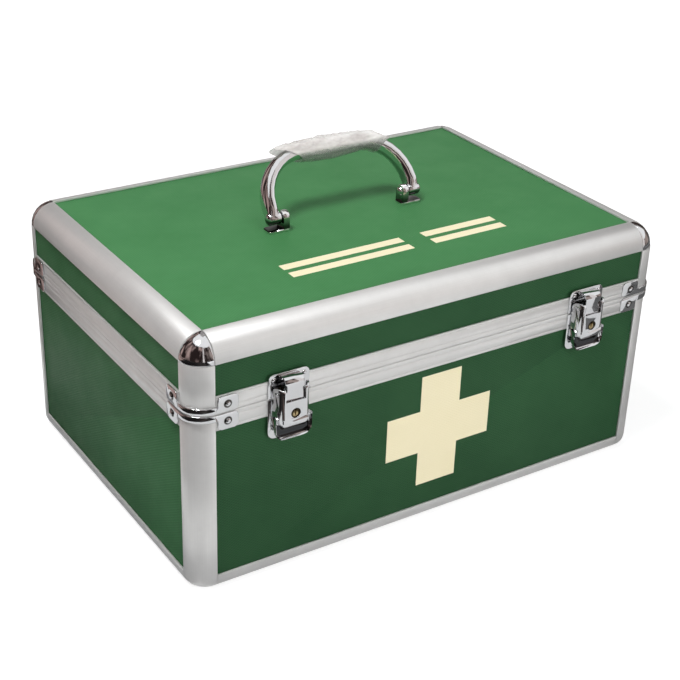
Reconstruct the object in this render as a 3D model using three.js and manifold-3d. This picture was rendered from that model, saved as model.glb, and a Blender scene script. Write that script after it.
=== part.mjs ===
// First aid box: laminate panels held in aluminium edge extrusions, a hinged lid with a
// folding handle, and two lever latches with locks.
// Millimetres, +Z up. The origin is on the resting plane under the middle of the body, and
// the front faces -Y.
import * as THREE from "three";
import { mergeVertices } from "three/addons/utils/BufferGeometryUtils.js";
import Module from "manifold-3d";

const wasm = await Module();
wasm.setup();

// Body
const bodyWidth = 380;
const bodyDepth = 263;
const bodyHeight = 184;
const splitHeight = 133.3;
const splitGap = 0.4;
const panelThickness = 4;

// Clearances: between pieces that meet end to end or slide into each other, and under a
// fitting that is riveted on a flat
const fitGap = 0.3;
const seatGap = 0.1;

// How far a solid runs into the one it is joined with, and a cutter past what it cuts
const joinDepth = 0.3;
const overrun = 1;

// Edge extrusions
const skin = 1.3;
const innerLip = 1.2;
const panelGrip = 5;
const edgeCover = 16.5;
const edgeRadius = 15.5;
const footCover = 11.3;
const footReach = 14;
const footRadius = 8;

// Rim frames
const rimHeight = 12;
const rimWeb = 1.5;
const rimCornerHeight = 5;
const rimGrooveDepth = 0.3;
const rimGrooveHalf = 0.5;
const rimGrooves = [3.4, 10.2];
const maleLipThickness = 1.2;
const maleLipClearance = 0.9;
const maleLipRise = 5;

// Ball corners
const ballWall = 1.6;

// Corner braces
const braceThickness = 1;
const braceBandHeight = 4.6;
const braceEarStart = 17.5;
const braceEarLength = 14.5;
const braceEarHeight = 11.4;
const braceEarRadius = 2.6;
const braceRivetPlace = 24.5;
const braceRivetRadius = 2.3;
const braceRivetRise = 1.3;

// Linings
const liningThickness = 1.5;

// Carrying handle
const handlePivotHeight = 9.6;
const handlePlace = -3.5;
const handleLean = THREE.MathUtils.degToRad(37);
const handleArmSpread = 59.2;
const handleRise = 42.5;
const handleBendRadius = 35;
const handleArmWidth = 9.6;
const handleArmDepth = 13.2;
const handleRootShare = 0.62;
const handleShoulderShare = 0.88;
const handleBarrelRadius = 4.4;
const handleBarrelLength = 11.2;
const handleBarrelRound = 1;
const handleBarrelDome = 2;
const handlePinRadius = 1.8;
const handlePinDepth = 8.2;
const handlePinHeadRadius = 3.1;
const handlePinHeadRise = 2;
const handlePinClearance = 0.35;
const handleSectionPower = 0.8;
const filmThickness = 0.8;
const filmPuff = 2.2;
const filmWrapLeft = THREE.MathUtils.degToRad(34);
const filmWrapRight = THREE.MathUtils.degToRad(40);
const lugThickness = 4.6;
const lugRadius = 4.7;
const lugFlare = 0.4;
const lugGap = 0.6;
const handleFootThickness = 1.6;
const handleFootOverhang = 1.4;
const handleFootDepth = 10.6;
const handleFootRadius = 3;

// Latches: depths are measured outwards from the front of the rims, heights from the split
const latchInset = 67.7;
const latchWidth = 30;
const latchPlateThickness = 1.2;
const catchHeight = 17.2;
const basePlateDrop = 29;
const plateSplitClearance = 0.7;
const plateCornerRadius = 5;
const catchCornerRadius = 4;
const catchRivetPlace = 11;
const catchRivetHeight = 13.6;
const catchRivetRadius = 1.7;
const catchRivetRise = 1.1;
const tongueWidth = 13.5;
const tongueThickness = 1.4;
const tongueDepth = 9.2;
const tongueEnd = 0.6;
const tongueBendRadius = 4;
const tongueRootRadius = 2;
const tongueRootTurn = THREE.MathUtils.degToRad(112);
const tongueBendTurn = THREE.MathUtils.degToRad(72);
const tongueBendDrop = 1.6;
const leverBackWidth = 26;
const leverFrontWidth = 20;
const leverBackDepth = 2;
const leverDepth = 10.5;
const leverWall = 1.2;
const leverCornerRadius = 2.4;
const leverFaceBottom = -15.5;
const leverFaceTop = 0.3;
const leverPivotDepth = 6.5;
const leverPivotHeight = 5.2;
const leverCheekRadius = 4.5;
const leverSlotClearance = 0.45;
const leverPinRadius = 1.1;
const leverPinClearance = 0.35;
const leverPinProud = 0.5;
const earThickness = 1.2;
const earClearance = 0.65;
const earRadius = 1.9;
const earRoot = 11;
const earRootReach = 3;
const earTopReach = 0.5;
const earFrontTurn = THREE.MathUtils.degToRad(-10);
const earBackTurn = THREE.MathUtils.degToRad(162);
const scoopBottom = -27.2;
const scoopTop = -12;
const scoopHalfWidth = 13.2;
const scoopSideShare = 0.42;
const scoopCornerRadius = 6;
const scoopCornerShrink = 0.4;
const scoopLeastRadius = 2;
const scoopEdgeDrop = 1.9;
const scoopCoveDrop = 4.5;
const scoopCoveInset = 4.4;
const scoopCoveWidth = 5;
const scoopFaceRound = 0.7;
const scoopFaceInset = 10.6;
const scoopStandOff = 5.2;
const scoopStandOffTop = -17;
const lockHeight = -8.4;
const lockRadius = 3.2;
const lockRecess = 0.6;
const lockLength = 6.5;
const lockClearance = 0.3;
const keywayWidth = 1.2;
const keywayHeight = 4.4;
const keywayDepth = 3;
const camWidth = 3;
const camReach = 6.3;
const camThickness = 1.2;
const camRadius = 1;
const camGap = 0.4;

// Rear hinges
const hingeInset = 80;
const hingeWidth = 42;
const hingeLeafHeight = 21;
const hingeLeafThickness = 1.2;
const hingeLeafStep = 1;
const hingeKnuckleRadius = 3.1;
const hingeKnuckleShare = 0.36;
const hingePinRadius = 1.5;
const hingePinClearance = 0.3;
const hingeAxisOut = 3.4;
const hingeLeafRadius = 5;
const hingePinHead = 0.9;

// Worked out from the sizes above
const slot = panelThickness + 2 * fitGap;
const innerLipStart = skin + slot;
const edgeInside = innerLipStart + innerLip;
const panelRecess = skin + fitGap;
const panelEdge = edgeCover - panelGrip + fitGap;
const halfGap = splitGap / 2;
const lidHeight = bodyHeight - splitHeight;
const quarter = Math.PI / 2;

// Facets: a quarter turn of the body's corners, ball corners, other rounds, lock cylinders, a
// bend of the bail and of its film, a corner of the lever, and rivets
const cornerSteps = 6;
const ballSides = 28;
const roundSides = 14;
const lockSides = 20;
const bailBendSteps = 8;
const filmBendSteps = 4;
const leverCornerSteps = 3;
const rivetSides = 8;

const colours = {
  laminate: { color: 0x3d7a4c, roughness: 0.6, metalness: 0 },
  satin: { color: 0xc4c2be, roughness: 0.38, metalness: 0.85 },
  chrome: { color: 0xd9dadc, roughness: 0.08, metalness: 1 },
  brass: { color: 0xb59a55, roughness: 0.3, metalness: 1 },
  foam: { color: 0x2b2d30, roughness: 0.95, metalness: 0 },
  film: { color: 0xdcdad4, roughness: 0.35, metalness: 0 },
};

// A named mesh with its own material
function piece(name, shape, look) {
  const geometry = shape instanceof THREE.BufferGeometry ? shape : geometryOf(shape);
  const mesh = new THREE.Mesh(geometry, new THREE.MeshStandardMaterial(colours[look]));
  mesh.name = name;
  return mesh;
}

// Geometry to a solid that can be joined and cut
function solidOf(geometry) {
  const bare = geometry.clone();
  bare.deleteAttribute("normal");
  bare.deleteAttribute("uv");
  const merged = mergeVertices(bare, 1e-4);
  return new wasm.Manifold(
    new wasm.Mesh({
      numProp: 3,
      vertProperties: merged.attributes.position.array,
      triVerts: new Uint32Array(merged.index.array),
    }),
  );
}

// And back to geometry
function geometryOf(solid) {
  const mesh = solid.getMesh();
  const geometry = new THREE.BufferGeometry();
  geometry.setAttribute("position", new THREE.BufferAttribute(mesh.vertProperties, 3));
  geometry.setIndex(new THREE.BufferAttribute(mesh.triVerts, 1));
  geometry.computeVertexNormals();
  return geometry;
}

function join(...parts) {
  return parts.map(asSolid).reduce((whole, part) => whole.add(part));
}

function cut(from, ...tools) {
  return tools.map(asSolid).reduce((rest, tool) => rest.subtract(tool), asSolid(from));
}

function asSolid(part) {
  return part instanceof THREE.BufferGeometry ? solidOf(part) : part;
}

// A box between two corners
function box(low, high) {
  const size = high.map((value, axis) => value - low[axis]);
  const middle = high.map((value, axis) => (value + low[axis]) / 2);
  return new THREE.BoxGeometry(...size).translate(...middle);
}

// Points of an arc, both ends included
function arc(x, y, radius, from, to, steps) {
  return Array.from({ length: steps + 1 }, (_, i) => {
    const angle = from + ((to - from) * i) / steps;
    return [x + radius * Math.cos(angle), y + radius * Math.sin(angle)];
  });
}

// A rectangle with its own radius at each corner: lower left, lower right, upper right and
// upper left
function roundedRectangle(left, bottom, right, top, radii, steps = 4) {
  const [a, b, c, d] = radii;
  const corner = (x, y, radius, from) =>
    radius > 0 ? arc(x, y, radius, from, from + quarter, steps) : [[x, y]];
  return [
    ...corner(left + a, bottom + a, a, Math.PI),
    ...corner(right - b, bottom + b, b, -quarter),
    ...corner(right - c, top - c, c, 0),
    ...corner(left + d, top - d, d, quarter),
  ];
}

// The points without those that fall on the one before
function distinct(points) {
  const apart = (p, q) => Math.hypot(p[0] - q[0], p[1] - q[1]) > 1e-6;
  return points.filter((p, i) => apart(p, points[(i + points.length - 1) % points.length]));
}

function shapeOf(outline, hole) {
  const vectors = (points) => distinct(points).map(([x, y]) => new THREE.Vector2(x, y));
  const shape = new THREE.Shape(vectors(outline));
  if (hole) shape.holes.push(new THREE.Path(vectors(hole)));
  return shape;
}

// An outline in XY, raised along Z from a height
function raised(outline, from, to, hole) {
  const geometry = new THREE.ExtrudeGeometry(shapeOf(outline, hole), {
    depth: to - from,
    bevelEnabled: false,
  });
  return geometry.translate(0, 0, from);
}

// An outline in XZ, carried outwards, towards -Y, between two depths
function pressed(outline, fromDepth, toDepth) {
  return raised(outline, fromDepth, toDepth).rotateX(quarter);
}

// An outline in depth and height, carried along X between two places
function along(outline, from, to) {
  const turned = outline.map(([depth, height]) => [-depth, height]);
  const basis = new THREE.Matrix4().makeBasis(
    new THREE.Vector3(0, 1, 0),
    new THREE.Vector3(0, 0, 1),
    new THREE.Vector3(1, 0, 0),
  );
  return raised(turned, from, to).applyMatrix4(basis);
}

// A cylinder along X, with its middle on the axis at a depth and a height
function barrel(radius, from, to, depth, height) {
  const geometry = new THREE.CylinderGeometry(radius, radius, to - from, roundSides);
  return geometry.rotateZ(quarter).translate((from + to) / 2, -depth, height);
}

// Closed surface through rings of equal counts of points. An open run of rings is capped at
// both ends, and a closed one joins its last ring to its first.
function loft(rings, closed = false) {
  const count = rings[0].length;
  const positions = rings.flat().flatMap((p) => [p.x, p.y, p.z]);
  const index = [];
  const spans = closed ? rings.length : rings.length - 1;
  for (let ring = 0; ring < spans; ring++) {
    const here = ring * count;
    const next = ((ring + 1) % rings.length) * count;
    for (let i = 0; i < count; i++) {
      const j = (i + 1) % count;
      index.push(here + i, here + j, next + j);
      index.push(here + i, next + j, next + i);
    }
  }
  if (!closed) {
    index.push(...cap(rings[0]).map(([a, b, c]) => [a, c, b]).flat());
    const last = (rings.length - 1) * count;
    index.push(...cap(rings.at(-1)).flat().map((i) => i + last));
  }
  const geometry = new THREE.BufferGeometry();
  geometry.setAttribute("position", new THREE.Float32BufferAttribute(positions, 3));
  geometry.setIndex(index);
  return outward(geometry);
}

// Triangles of a flat ring, wound as the ring is
function cap(ring) {
  const origin = ring[0];
  const normal = new THREE.Vector3();
  ring.forEach((p, i) => {
    const a = p.clone().sub(origin);
    const b = ring[(i + 1) % ring.length].clone().sub(origin);
    normal.add(a.cross(b));
  });
  normal.normalize();
  const x = ring[1].clone().sub(origin).normalize();
  const y = normal.clone().cross(x);
  const flat = ring.map((p) => {
    const away = p.clone().sub(origin);
    return new THREE.Vector2(away.dot(x), away.dot(y));
  });
  return THREE.ShapeUtils.triangulateShape(flat, []);
}

// Faces turned to point out of the body
function outward(geometry) {
  const position = geometry.attributes.position;
  const index = geometry.index.array;
  const corner = (i) => new THREE.Vector3().fromBufferAttribute(position, index[i]);
  let volume = 0;
  for (let i = 0; i < index.length; i += 3) {
    volume += corner(i).dot(corner(i + 1).cross(corner(i + 2)));
  }
  if (volume < 0) {
    for (let i = 0; i < index.length; i += 3) {
      [index[i + 1], index[i + 2]] = [index[i + 2], index[i + 1]];
    }
  }
  return geometry;
}

// Section of an edge extrusion. Its outer corner is the origin, u runs inwards from one face
// and v from the other. A channel along each leg holds a panel, and a chamber lightens it.
function edgeSection(coverU, coverV, radius) {
  const webU = coverU - panelGrip;
  const webV = coverV - panelGrip;
  const outline = [
    ...arc(radius, radius, radius, Math.PI, 1.5 * Math.PI, cornerSteps),
    [coverU, 0],
    [coverU, skin],
    [webU, skin],
    [webU, innerLipStart],
    [coverU, innerLipStart],
    [coverU, edgeInside],
    [edgeInside, edgeInside],
    [edgeInside, coverV],
    [innerLipStart, coverV],
    [innerLipStart, webV],
    [skin, webV],
    [skin, coverV],
    [0, coverV],
  ];
  const chamberRadius = radius - skin;
  const endU = webU - innerLip;
  const endV = webV - innerLip;
  const reachOf = (end) => Math.asin(Math.max(0, radius - end) / chamberRadius);
  const chamber = [
    ...arc(radius, radius, chamberRadius, Math.PI + reachOf(endV), 1.5 * Math.PI - reachOf(endU), 4),
    [endU, Math.min(endV, innerLipStart)],
    [Math.min(endU, innerLipStart), Math.min(endV, innerLipStart)],
    [Math.min(endU, innerLipStart), endV],
  ];
  return { outline, chamber };
}

// An edge extrusion along X, its section opening inwards from the front face and from the
// top face (up = 1) or the bottom face (up = -1)
function edgeBar(section, length, up) {
  const basis = new THREE.Matrix4().makeBasis(
    new THREE.Vector3(0, 1, 0),
    new THREE.Vector3(0, 0, -up),
    new THREE.Vector3(-up, 0, 0),
  );
  const bar = raised(section.outline, -length / 2, length / 2, section.chamber);
  return bar.applyMatrix4(basis);
}

// A frame carried round the body: its section is in u, inwards from the faces, and height
function rimFrame(section) {
  const rings = corners.flatMap((corner) =>
    Array.from({ length: cornerSteps + 1 }, (_, i) => {
      const angle = Math.PI + corner.turn + (i / cornerSteps) * quarter;
      const x = corner.x * (bodyWidth / 2 - edgeRadius);
      const y = corner.y * (bodyDepth / 2 - edgeRadius);
      return section.map(([u, height]) => {
        const reach = edgeRadius - u;
        return new THREE.Vector3(x + reach * Math.cos(angle), y + reach * Math.sin(angle), height);
      });
    }),
  );
  return loft(rings, true);
}

const corners = [
  { name: "front_left", turn: 0, x: -1, y: -1 },
  { name: "front_right", turn: quarter, x: 1, y: -1 },
  { name: "rear_right", turn: 2 * quarter, x: 1, y: 1 },
  { name: "rear_left", turn: 3 * quarter, x: -1, y: 1 },
];

const sides = [
  { name: "front", turn: 0, reach: bodyDepth / 2, span: bodyWidth },
  { name: "right", turn: quarter, reach: bodyWidth / 2, span: bodyDepth },
  { name: "rear", turn: 2 * quarter, reach: bodyDepth / 2, span: bodyWidth },
  { name: "left", turn: 3 * quarter, reach: bodyWidth / 2, span: bodyDepth },
];

// A group at each vertical edge of the body, with +X and +Y running inwards along its faces
function atCorners(parent, build) {
  for (const corner of corners) {
    const group = new THREE.Group();
    group.position.set((corner.x * bodyWidth) / 2, (corner.y * bodyDepth) / 2, 0);
    group.rotation.z = corner.turn;
    group.add(...build(corner.name));
    parent.add(group);
  }
}

// A group on each wall, with -Y pointing out of the wall
function atSides(parent, build) {
  for (const side of sides) {
    const group = new THREE.Group();
    group.rotation.z = side.turn;
    group.add(...build(side));
    parent.add(group);
  }
}

// A panel's outline with its lower and upper corners stepped back, where they have a notch
function notchedOutline([left, bottom], [right, top], notchX, notchLow, notchHigh) {
  const corner = (x, y, dx, dy, alongFirst) => {
    if (dy === 0) return [[x, y]];
    const steps = [
      [x, y + dy],
      [x + dx, y + dy],
      [x + dx, y],
    ];
    return alongFirst ? steps.reverse() : steps;
  };
  return [
    ...corner(left, bottom, notchX, notchLow, false),
    ...corner(right, bottom, -notchX, notchLow, true),
    ...corner(right, top, -notchX, -notchHigh, false),
    ...corner(left, top, notchX, -notchHigh, true),
  ];
}

// Wall panel of one side, between two heights, stepped back at the corners it meets
function wallPanel(side, bottom, top, notchLow, notchHigh) {
  const half = side.span / 2 - panelEdge;
  const outline = notchedOutline([-half, bottom], [half, top], panelGrip, notchLow, notchHigh);
  const outer = side.reach - panelRecess;
  return pressed(outline, outer - panelThickness, outer);
}

// Floor and top panels lie flat
function flatPanel(edge, notch, low, high) {
  const x = bodyWidth / 2 - edge;
  const y = bodyDepth / 2 - edge;
  return raised(notchedOutline([-x, -y], [x, y], notch, notch, notch), low, high);
}

// Lower end of a base post: what lies inside the rounding of the bottom edges
function footEnvelope(height) {
  const inset = (z) =>
    z < footRadius ? footRadius - Math.sqrt(footRadius ** 2 - (footRadius - z) ** 2) : 0;
  const rise = arc(0, 0, footRadius, -quarter, 0, cornerSteps).map(([, y]) => footRadius + y);
  const levels = [...rise, height];
  const turned = levels.map((z) => new THREE.Vector2(edgeRadius - inset(z), z));
  const profile = [new THREE.Vector2(0, 0), ...turned, new THREE.Vector2(0, height)];
  const round = new THREE.LatheGeometry(profile, 4 * cornerSteps).rotateX(quarter);
  round.translate(edgeRadius, edgeRadius, 0);
  const flank = [...levels.map((z) => [inset(z), z]), [edgeCover, height], [edgeCover, 0]];
  const alongX = along(flank.map(([u, z]) => [-u, z]), edgeRadius, edgeCover);
  const alongY = alongX.clone().rotateZ(quarter).scale(-1, 1, 1);
  return join(round, alongX, flipped(alongY));
}

// Cap that closes a base post below the wall panels, stepped round the floor panel
function footCap() {
  const high = footCover - panelGrip;
  const clear = footReach - panelGrip;
  const past = edgeCover + overrun;
  const floorSpace = box([clear, clear, skin], [past, past, high + overrun]);
  return cut(box([0, 0, 0], [edgeCover, edgeCover, high]), floorSpace);
}

// The same geometry with each face turned over, after a mirroring scale
function flipped(geometry) {
  const merged = mergeVertices(geometry.deleteAttribute("normal").deleteAttribute("uv"), 1e-4);
  return outward(merged);
}

// Half outline of a dome of a radius and a rise on a base at a height, from its rim to its top
function domeOutline(radius, rise, height) {
  const run = arc(0, 0, 1, 0, quarter, 3).map(([across, up]) => [
    radius * across,
    height + rise * up,
  ]);
  return [...run.slice(0, -1), [0, height + rise]];
}

// Rivet head with a domed top, standing on the plane z = 0
function rivetHead(radius, rise, sides = rivetSides) {
  const profile = [[0, -joinDepth], [radius, -joinDepth], ...domeOutline(radius, rise, 0)];
  const points = profile.map(([r, z]) => new THREE.Vector2(r, z));
  return new THREE.LatheGeometry(points, sides).rotateX(quarter);
}

// Corner brace: a narrow band round the rim's corner between two riveted ears. Built for the
// lid, with the band at the bottom; the base one is the same piece upside down.
function cornerBrace() {
  const inner = edgeRadius + seatGap;
  const outer = inner + braceThickness;
  const low = halfGap + fitGap;
  const bandOutline = [
    ...arc(edgeRadius, edgeRadius, outer, Math.PI, 1.5 * Math.PI, cornerSteps),
    ...arc(edgeRadius, edgeRadius, inner, Math.PI, 1.5 * Math.PI, cornerSteps).reverse(),
  ];
  const band = raised(bandOutline, low, low + braceBandHeight);
  const strip = box(
    [edgeRadius, -seatGap - braceThickness, low],
    [braceEarStart + braceEarRadius, -seatGap, low + braceBandHeight],
  );
  const earOutline = roundedRectangle(
    braceEarStart,
    low,
    braceEarStart + braceEarLength,
    low + braceEarHeight,
    [0, braceEarRadius, braceEarRadius, braceEarRadius],
    2,
  );
  const ear = pressed(earOutline, seatGap, seatGap + braceThickness);
  const rivet = rivetHead(braceRivetRadius, braceRivetRise).rotateX(quarter);
  rivet.translate(braceRivetPlace, -seatGap - braceThickness, low + braceEarHeight / 2);
  const wing = join(strip, ear, rivet);
  const mirrored = geometryOf(wing).rotateZ(quarter).scale(-1, 1, 1);
  return join(band, wing, flipped(mirrored));
}

// Section of the lid's rim frame, its mating face just above z = 0
function lidRimSection() {
  const low = halfGap;
  const top = low + rimHeight;
  const grooves = [...rimGrooves].reverse().flatMap((height) => [
    [0, low + height + rimGrooveHalf],
    [rimGrooveDepth, low + height],
    [0, low + height - rimGrooveHalf],
  ]);
  return [
    [0, low],
    [edgeInside, low],
    [edgeInside, top],
    [innerLipStart, top],
    [innerLipStart, low + rimWeb],
    [skin, low + rimWeb],
    [skin, top],
    [0, top],
    ...grooves,
  ];
}

// Section of the base's rim frame: the lid's one upside down, with the lip that stands up
// inside the lid
function baseRimSection() {
  const lipOuter = edgeInside + maleLipClearance;
  const lipInner = lipOuter + maleLipThickness;
  const turned = lidRimSection().map(([u, height]) => [u, -height]);
  const lip = [
    [lipOuter, -halfGap],
    [lipOuter, maleLipRise],
    [lipInner, maleLipRise],
    [lipInner, -halfGap - maleLipThickness],
    [edgeInside, -halfGap - maleLipThickness],
  ];
  return [turned[0], ...lip, ...turned.slice(2)];
}

// Blocks that clear a rim at the corners beyond its narrow part, where the posts come in
function rimCornerCutters(up) {
  const size = edgeCover + fitGap;
  return corners.map((corner) => {
    const x = (corner.x * bodyWidth) / 2;
    const y = (corner.y * bodyDepth) / 2;
    const ends = [up * (halfGap + rimCornerHeight), up * 2 * rimHeight];
    const block = box([-size, -size, Math.min(...ends)], [size, size, Math.max(...ends)]);
    return block.translate(x, y, 0);
  });
}

// Foam tray that lines the lid or the base, with one open side. Its corners follow the rim's.
function liningTray(low, high, openUp) {
  const wall = liningThickness;
  const block = (inset, from, to) => {
    const x = bodyWidth / 2 - inset;
    const y = bodyDepth / 2 - inset;
    const radius = edgeRadius - inset;
    return raised(roundedRectangle(-x, -y, x, y, [radius, radius, radius, radius]), from, to);
  };
  const outside = edgeInside + fitGap;
  const innerLow = openUp ? low + wall : low - wall;
  const innerHigh = openUp ? high + wall : high - wall;
  return cut(block(outside, low, high), block(outside + wall, innerLow, innerHigh));
}

// Handle bail: its middle line runs up one arm, round a bend, along the top and down again.
// Each station is its place in XZ and the angle of its outward normal from +X. Where it has a
// share, the section is that much of its full depth.
function handleLine(fromAngle, toAngle, steps) {
  const bendX = handleArmSpread - handleBendRadius;
  const bendZ = handleRise - handleBendRadius;
  const bend = (side, from, to) =>
    arc(side * bendX, bendZ, handleBendRadius, from, to, steps).map(([x, z], i) => ({
      x,
      z,
      angle: from + ((to - from) * i) / steps,
    }));
  return [...bend(1, fromAngle, quarter), ...bend(-1, quarter, toAngle)];
}

// A section carried along the handle's line: v runs outwards in its plane, w along Y
function alongHandle(stations, section) {
  const rings = stations.map(({ x, z, angle, share = 1 }) =>
    section.map(
      ([v, w]) =>
        new THREE.Vector3(x + v * Math.cos(angle), w * share, z + v * Math.sin(angle)),
    ),
  );
  return loft(rings);
}

// The handle's section grown on all sides, and further on its outer side by a puff: a
// superellipse between an ellipse and a rectangle
function softSection(growth, puff = 0) {
  const width = handleArmWidth + 2 * growth;
  const depth = handleArmDepth + 2 * growth;
  return Array.from({ length: roundSides }, (_, i) => {
    const angle = (2 * Math.PI * (i + 0.5)) / roundSides;
    const share = (value) => Math.sign(value) * Math.abs(value) ** handleSectionPower;
    const outward = Math.max(0, Math.cos(angle));
    return [
      (width / 2) * share(Math.cos(angle)) + puff * outward,
      (depth / 2) * share(Math.sin(angle)),
    ];
  });
}

// Bail whose arms narrow down to their barrels, which are domed on the outside and bored for the
// pins from the inside
function handleBail() {
  const shoulder = (handleRise - handleBendRadius) / 2;
  const root = (side, z, share) => ({
    x: side * handleArmSpread,
    z,
    angle: side > 0 ? 0 : Math.PI,
    share,
  });
  const stations = [
    root(1, 0, handleRootShare),
    root(1, shoulder, handleShoulderShare),
    ...handleLine(0, Math.PI, bailBendSteps),
    root(-1, shoulder, handleShoulderShare),
    root(-1, 0, handleRootShare),
  ];
  const bow = alongHandle(stations, softSection(0));
  const half = handleBarrelLength / 2;
  const round = handleBarrelRound;
  const profile = [
    [0, -half],
    [handleBarrelRadius - round, -half],
    [handleBarrelRadius, round - half],
    ...domeOutline(handleBarrelRadius, handleBarrelDome, half - handleBarrelDome),
  ].map(([r, y]) => new THREE.Vector2(r, y));
  const ends = [1, -1].map((side) => {
    const end = new THREE.LatheGeometry(profile, roundSides).rotateZ(-side * quarter);
    return end.translate(side * handleArmSpread, 0, 0);
  });
  const inner = handleArmSpread - half;
  const bores = [1, -1].map((side) => {
    const depth = handlePinDepth + 2 * handlePinClearance;
    const reach = [side * (inner - overrun), side * (inner + depth)];
    return barrel(handlePinRadius + handlePinClearance, Math.min(...reach), Math.max(...reach), 0, 0);
  });
  return cut(join(bow, ...ends), ...bores);
}

// Film wrapped round the top of the bail, standing off it on the outer side, from an angle past
// the top on the right to one on the left
function handleFilm() {
  const steps = filmBendSteps;
  const run = (past, count) =>
    handleLine(quarter - filmWrapRight - past, quarter + filmWrapLeft + past, count);
  const outer = alongHandle(run(0, steps), softSection(fitGap + filmThickness, filmPuff));
  const inner = alongHandle(run(filmWrapLeft / steps, steps + 1), softSection(fitGap));
  return cut(outer, inner);
}

// Handle foot: a plate on the lid with an upright lug, and the pivot pin held in the lug.
// Built for the right side, where the lug is on the left of the bail's arm.
function handleFoot() {
  const half = handleBarrelLength / 2;
  const lugOuter = handleArmSpread - half - lugGap;
  const lugInner = lugOuter - lugThickness;
  const plate = raised(
    roundedRectangle(
      lugInner - handleFootOverhang,
      -handleFootDepth / 2,
      handleArmSpread + half,
      handleFootDepth / 2,
      [handleFootRadius, handleFootRadius, handleFootRadius, handleFootRadius],
    ),
    seatGap,
    seatGap + handleFootThickness,
  );
  const lugOutline = [
    [-lugRadius - lugFlare, seatGap],
    ...arc(0, handlePivotHeight, lugRadius, Math.PI, 0, 10),
    [lugRadius + lugFlare, seatGap],
  ];
  const lug = along(lugOutline, lugInner, lugOuter);
  const pinEnd = lugOuter + lugGap + handlePinDepth;
  const pin = barrel(handlePinRadius, lugInner, pinEnd, 0, handlePivotHeight);
  const head = rivetHead(handlePinHeadRadius, handlePinHeadRise, roundSides).rotateY(-quarter);
  head.translate(lugInner, 0, handlePivotHeight);
  return join(plate, lug, pin, head);
}

// A plate pressed flat on the front, between two depths
function frontPlate(width, bottom, top, radii) {
  return pressed(
    roundedRectangle(-width / 2, bottom, width / 2, top, radii),
    seatGap,
    seatGap + latchPlateThickness,
  );
}

// Outline of a bent strip: its middle line offset by half the thickness on both sides
function stripOutline(line, thickness) {
  const offset = (side) =>
    line.map(([x, y], i) => {
      const [ax, ay] = line[Math.max(0, i - 1)];
      const [bx, by] = line[Math.min(line.length - 1, i + 1)];
      const length = Math.hypot(bx - ax, by - ay);
      const reach = (side * thickness) / 2 / length;
      return [x - (by - ay) * reach, y + (bx - ax) * reach];
    });
  return [...offset(1), ...offset(-1).reverse()];
}

// Catch on the lid: a plate whose tongue bows out of its top and comes down over the split
function latchCatch() {
  const radii = [0, 0, catchCornerRadius, catchCornerRadius];
  const plate = frontPlate(latchWidth, plateSplitClearance, catchHeight, radii);
  const plateMiddle = seatGap + latchPlateThickness / 2;
  const tongueMiddle = tongueDepth - tongueThickness / 2;
  const rootHeight = catchHeight - tongueBendRadius;
  const rootDepth = plateMiddle + tongueRootRadius;
  const bendHeight = rootHeight - tongueBendDrop;
  const bendDepth = tongueMiddle - tongueBendRadius;
  const line = [
    [plateMiddle, rootHeight - overrun],
    ...arc(rootDepth, rootHeight, tongueRootRadius, Math.PI, tongueRootTurn, 3),
    ...arc(bendDepth, bendHeight, tongueBendRadius, tongueBendTurn, 0, 5),
    [tongueMiddle, tongueEnd],
  ];
  const outline = stripOutline(line, tongueThickness);
  const rivets = [-1, 1].map((side) => {
    const rivet = rivetHead(catchRivetRadius, catchRivetRise).rotateX(quarter);
    return rivet.translate(
      side * catchRivetPlace,
      -seatGap - latchPlateThickness,
      catchRivetHeight,
    );
  });
  return join(plate, along(outline, -tongueWidth / 2, tongueWidth / 2), ...rivets);
}

// Plate on the base, with the two ears and the pin that the lever turns on
function latchPlate() {
  const radii = [plateCornerRadius, plateCornerRadius, 0, 0];
  const plate = frontPlate(latchWidth, -basePlateDrop, -plateSplitClearance, radii);
  const face = seatGap + latchPlateThickness;
  const earOutline = [
    [face - joinDepth, -earRoot],
    [face + earRootReach, -earRoot],
    ...arc(leverPivotDepth, leverPivotHeight, earRadius, earFrontTurn, earBackTurn, 7),
    [face + earTopReach, -plateSplitClearance],
    [face - joinDepth, -plateSplitClearance],
  ];
  const earInner = tongueWidth / 2 + earClearance;
  const ears = [earInner, -earInner - earThickness].map((x) =>
    along(earOutline, x, x + earThickness),
  );
  const share = (leverPivotDepth - leverBackDepth) / (leverDepth - leverBackDepth);
  const cheek = leverBackWidth / 2 - (share * (leverBackWidth - leverFrontWidth)) / 2;
  const reach = cheek + leverPinProud;
  const pin = barrel(leverPinRadius, -reach, reach, leverPivotDepth, leverPivotHeight);
  return join(plate, ...ears, pin);
}

// Plan of the lever's housing, drawn in by a wall and rounded at the front
function housingPlan(wall, back, front) {
  const slope = (leverBackWidth - leverFrontWidth) / 2 / (leverDepth - leverBackDepth);
  const halfAt = (depth) => leverBackWidth / 2 - wall - slope * (depth - leverBackDepth);
  const round = Math.max(fitGap, leverCornerRadius - wall);
  const inset = halfAt(front) - round;
  const bend = (side) =>
    [
      [halfAt(front - round), -front + round],
      ...arc(inset, -front + round, round, 0, -quarter, leverCornerSteps).slice(1),
    ].map(([x, y]) => [side * x, y]);
  return [[-halfAt(back), -back], ...bend(-1), ...bend(1).reverse(), [halfAt(back), -back]];
}

// One outline of the scoop below the lever's face, drawn in by an inset
function scoopRing(depth, inset, top) {
  const half = scoopHalfWidth - scoopSideShare * inset;
  const radius = Math.max(scoopLeastRadius, scoopCornerRadius - scoopCornerShrink * inset);
  const outline = roundedRectangle(-half, scoopBottom + inset, half, top, [radius, radius, 0, 0], 4);
  return outline.map(([x, z]) => new THREE.Vector3(x, -depth, z));
}

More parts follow.
